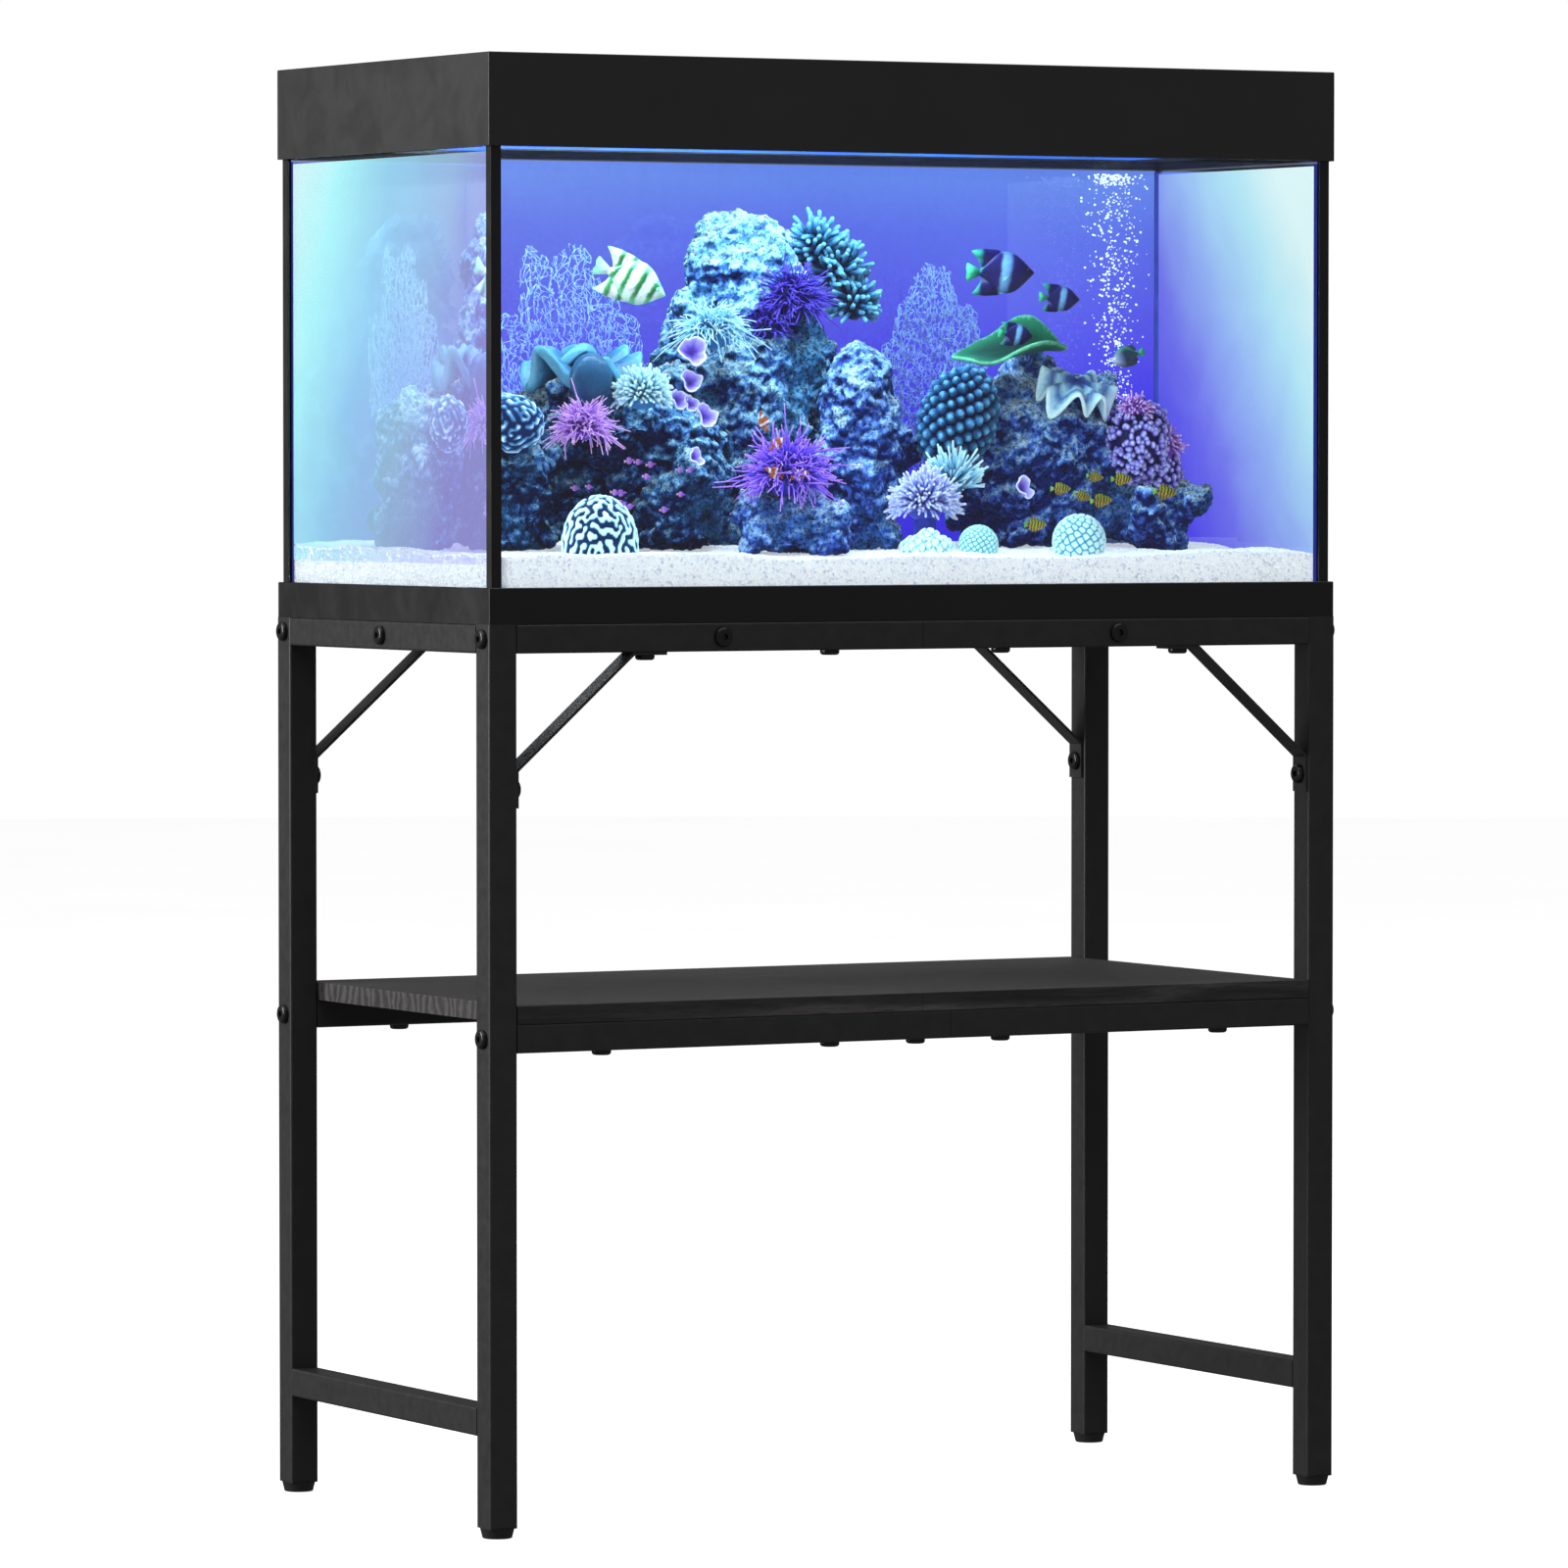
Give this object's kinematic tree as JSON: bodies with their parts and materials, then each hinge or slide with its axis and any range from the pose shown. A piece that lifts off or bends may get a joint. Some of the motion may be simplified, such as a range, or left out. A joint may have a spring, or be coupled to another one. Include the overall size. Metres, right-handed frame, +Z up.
{
  "type": "aquarium on stand",
  "caption": "Glass aquarium with a lift-off lighted hood and feeding flap, on a bolted black steel tube stand with a shelf and levelling feet.",
  "frame": {"origin": "centre of the footprint, on the floor under the feet", "axes": "+X along the front to the viewer's right, -Y out of the front, +Z up"},
  "size_m": [0.8084, 0.4044, 1.196],
  "materials": {
    "frame_steel": "black powder coat",
    "plated_steel": "zinc plated",
    "bolt_steel": "black oxide",
    "shelf_board": "dark grey wood grain laminate",
    "foot_plastic": "moulded",
    "tank_glass": "polished float glass",
    "trim_plastic": "satin",
    "hood_plastic": "satin",
    "reef_rock": "rough",
    "silicone": "satin",
    "background_film": "printed film",
    "gravel": "fine grains",
    "coral": "matt cast resin",
    "air_stone": "sintered",
    "light_housing": "anodised",
    "led_board": "white solder mask",
    "light_lens": "frosted",
    "grommet_rubber": "matte"
  },
  "bodies": {
    "stand_and_tank": {"air_stone": "air_stone", "back_glass": "tank_glass", "background_film": "background_film", "base_trim": "trim_plastic", "bearer_bolts": "bolt_steel", "board_bolts": "bolt_steel", "bottom_glass": "tank_glass", "brace_bolts": "bolt_steel", "brain_coral": "coral", "corals": "coral", "corner_posts": "trim_plastic", "coupler_bolts": "bolt_steel", "cross_bearer_left": "frame_steel", "cross_bearer_right": "frame_steel", "front_glass": "tank_glass", "gravel_bed": "gravel", "knee_brace_front_left": "frame_steel", "knee_brace_front_right": "frame_steel", "knee_brace_rear_left": "frame_steel", "knee_brace_rear_right": "frame_steel", "left_glass": "tank_glass", "leg_plugs": "foot_plastic", "leg_sleeves": "plated_steel", "long_bearer": "frame_steel", "lower_side_frame_left": "frame_steel", "lower_side_frame_right": "frame_steel", "rail_couplers": "plated_steel", "rail_end_nuts": "plated_steel", "right_glass": "tank_glass", "rock_anemone": "reef_rock", "rock_centre": "reef_rock", "rock_left": "reef_rock", "rock_right": "reef_rock", "rock_slab": "reef_rock", "shelf_board_left": "shelf_board", "shelf_board_right": "shelf_board", "shelf_rail_front_left": "frame_steel", "shelf_rail_front_right": "frame_steel", "shelf_rail_rear_left": "frame_steel", "shelf_rail_rear_right": "frame_steel", "side_frame_bolts": "bolt_steel", "silicone_seams": "silicone", "top_rail_front_left": "frame_steel", "top_rail_front_right": "frame_steel", "top_rail_rear_left": "frame_steel", "top_rail_rear_right": "frame_steel", "top_rim": "trim_plastic", "upper_side_frame_left": "frame_steel", "upper_side_frame_right": "frame_steel"},
    "hood": {"hood_shell": "hood_plastic", "hinge_pin": "plated_steel", "light_housing": "light_housing", "led_board": "led_board", "light_lens": "light_lens", "cable_grommet": "grommet_rubber"},
    "flap": {"feeding_flap": "hood_plastic"},
    "foot_front_left": {"levelling_foot_front_left": "foot_plastic"},
    "foot_front_right": {"levelling_foot_front_right": "foot_plastic"},
    "foot_rear_left": {"levelling_foot_rear_left": "foot_plastic"},
    "foot_rear_right": {"levelling_foot_rear_right": "foot_plastic"}
  },
  "joints": [
    {"name": "hood_lift", "type": "slide", "parent": "stand_and_tank", "child": "hood", "axis": [0, 0, 1], "range_m": [0, 0.15]},
    {"name": "flap_hinge", "type": "hinge", "parent": "hood", "child": "flap", "pos_m": [0, 0.02, 1.1917], "axis": [-1, 0, 0], "range_deg": [0, 100]},
    {"name": "foot_front_left_level", "type": "slide", "parent": "stand_and_tank", "child": "foot_front_left", "axis": [0, 0, -1], "range_m": [0, 0.01]},
    {"name": "foot_front_right_level", "type": "slide", "parent": "stand_and_tank", "child": "foot_front_right", "axis": [0, 0, -1], "range_m": [0, 0.01]},
    {"name": "foot_rear_left_level", "type": "slide", "parent": "stand_and_tank", "child": "foot_rear_left", "axis": [0, 0, -1], "range_m": [0, 0.01]},
    {"name": "foot_rear_right_level", "type": "slide", "parent": "stand_and_tank", "child": "foot_rear_right", "axis": [0, 0, -1], "range_m": [0, 0.01]}
  ]
}
